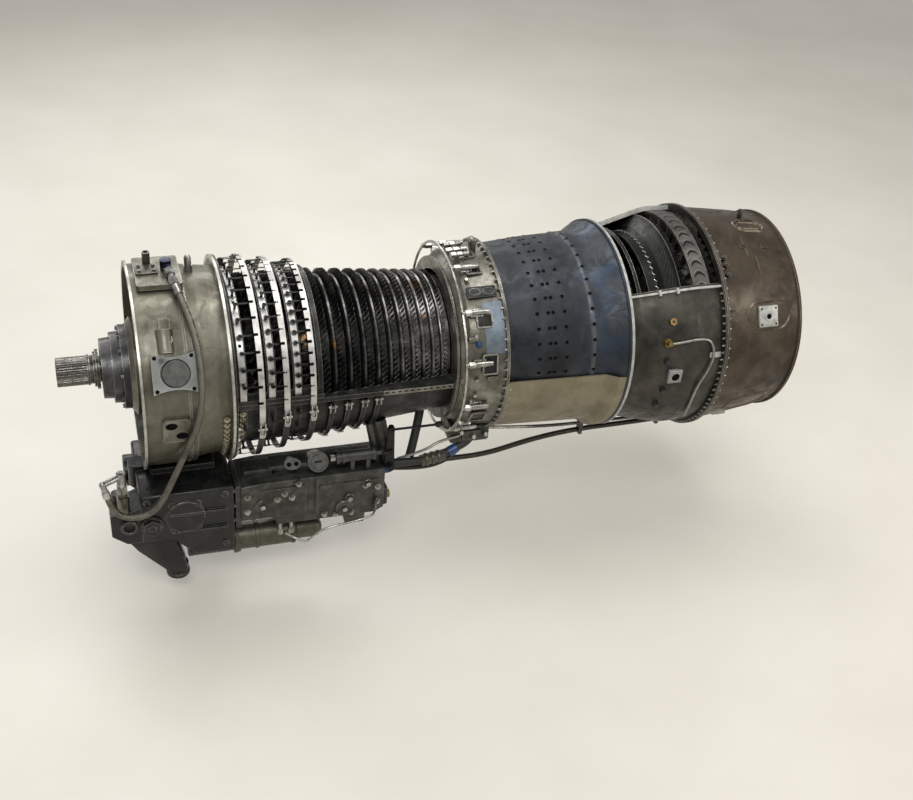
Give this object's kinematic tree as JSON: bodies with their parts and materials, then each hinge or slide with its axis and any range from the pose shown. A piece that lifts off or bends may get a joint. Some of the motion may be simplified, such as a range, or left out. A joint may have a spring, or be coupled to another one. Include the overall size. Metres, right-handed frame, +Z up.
{
  "type": "turboshaft engine",
  "caption": "Sectioned free-turbine turboshaft engine with open compressor, combustor liner and turbine window, accessories below and a splined output shaft at the front.",
  "frame": {"origin": "shaft centre at the front face of the inlet flange", "axes": "+X aft along the shaft, +Z up, near side in the picture faces -Y"},
  "size_m": [2.007, 0.652, 0.9139],
  "materials": {
    "bearing_steel": "ground steel",
    "bright_steel": "machined",
    "case_black": "dark heat-blued steel",
    "case_tan": "straw heat tint",
    "control_grey": "dark grey casting",
    "exhaust_heat": "red-brown heat scale",
    "frame_casting": "olive-grey varnished casting",
    "frame_tan": "heat-tanned steel",
    "gearbox_black": "black painted casting",
    "lever_steel": "machined",
    "liner_slate": "slate-blue heat scale",
    "nose_black": "black oxide",
    "nozzle_grey": "grey heat scale",
    "pad_bronze": "bronze varnish",
    "pad_grey": "bead-blasted",
    "ring_black": "black",
    "ring_bright": "satin machined",
    "rotor_steel": "dark oiled steel",
    "shaft_steel": "ground steel with dark spline",
    "turbine_dark": "dark brown heat scale",
    "turbine_steel": "heat-darkened"
  },
  "bodies": {
    "core_rotor": {"compressor_rotor_front": "rotor_steel", "compressor_rotor_drum": "rotor_steel", "core_shaft": "bearing_steel", "gas_turbine_disc_1": "turbine_steel", "gas_turbine_disc_2": "turbine_steel"},
    "power_turbine": {"power_shaft": "shaft_steel", "power_turbine_disc_1": "turbine_steel", "power_turbine_disc_2": "turbine_steel"},
    "ring_1": {"unison_ring_1_upper": "ring_bright", "unison_ring_1_lower": "ring_black"},
    "ring_2": {"unison_ring_2_upper": "ring_bright", "unison_ring_2_lower": "ring_black"},
    "ring_3": {"unison_ring_3_upper": "ring_bright", "unison_ring_3_lower": "ring_black"},
    "rear_rings": {"rear_unison_rings": "ring_black"},
    "root": {"accessory_gearbox": "gearbox_black", "combustion_liner": "liner_slate", "combustor_case_lower": "case_tan", "compressor_case_lower": "case_black", "compressor_case_upper": "case_black", "control_cap": "pad_grey", "control_oval_cover": "pad_grey", "core_front_bearing": "bearing_steel", "core_rear_bearing": "bearing_steel", "drain_funnel": "gearbox_black", "drain_pad": "pad_bronze", "exhaust_case": "exhaust_heat", "exhaust_cone": "turbine_dark", "exhaust_frame": "turbine_dark", "exhaust_pad": "bright_steel", "front_frame": "frame_casting", "fuel_control": "control_grey", "fuel_manifold": "bright_steel", "fuel_nozzles": "bright_steel", "gearbox_cover": "gearbox_black", "inner_liner": "liner_slate", "main_frame": "frame_tan", "mounting_pad": "pad_grey", "nose_bearing": "bearing_steel", "nose_housing": "nose_black", "oil_pump": "gearbox_black", "power_nozzle": "nozzle_grey", "power_nozzle_band": "nozzle_grey", "pressure_fitting": "bright_steel", "rear_bearing": "bearing_steel", "rear_stator_vanes": "rotor_steel", "top_cover": "pad_bronze", "turbine_case": "turbine_dark", "turbine_fittings": "turbine_dark", "turbine_nozzle_1": "nozzle_grey", "turbine_nozzle_2": "nozzle_grey", "vane_levers_1": "lever_steel", "vane_levers_2": "lever_steel", "vane_levers_3": "lever_steel", "variable_vanes": "rotor_steel"}
  },
  "joints": [
    {"name": "core_spin", "type": "hinge", "parent": "root", "child": "core_rotor", "pos_m": [0.7, 0, 0], "axis": [1, 0, 0], "continuous": true},
    {"name": "power_turbine_spin", "type": "hinge", "parent": "root", "child": "power_turbine", "pos_m": [0.7, 0, 0], "axis": [1, 0, 0], "continuous": true},
    {"name": "ring_1_turn", "type": "hinge", "parent": "root", "child": "ring_1", "pos_m": [0, 0, 0], "axis": [1, 0, 0], "range_deg": [-1.5, 1.5]},
    {"name": "ring_2_turn", "type": "hinge", "parent": "root", "child": "ring_2", "pos_m": [0, 0, 0], "axis": [1, 0, 0], "range_deg": [-1.3, 1.3]},
    {"name": "ring_3_turn", "type": "hinge", "parent": "root", "child": "ring_3", "pos_m": [0, 0, 0], "axis": [1, 0, 0], "range_deg": [-1.1, 1.1]},
    {"name": "rear_rings_turn", "type": "hinge", "parent": "root", "child": "rear_rings", "pos_m": [0, 0, 0], "axis": [1, 0, 0], "range_deg": [-0.9, 0.9]}
  ],
  "couplings": [
    {"joint": "ring_2_turn", "follows": "ring_1_turn", "ratio": 0.8},
    {"joint": "ring_3_turn", "follows": "ring_1_turn", "ratio": 0.7},
    {"joint": "rear_rings_turn", "follows": "ring_1_turn", "ratio": 0.55}
  ]
}
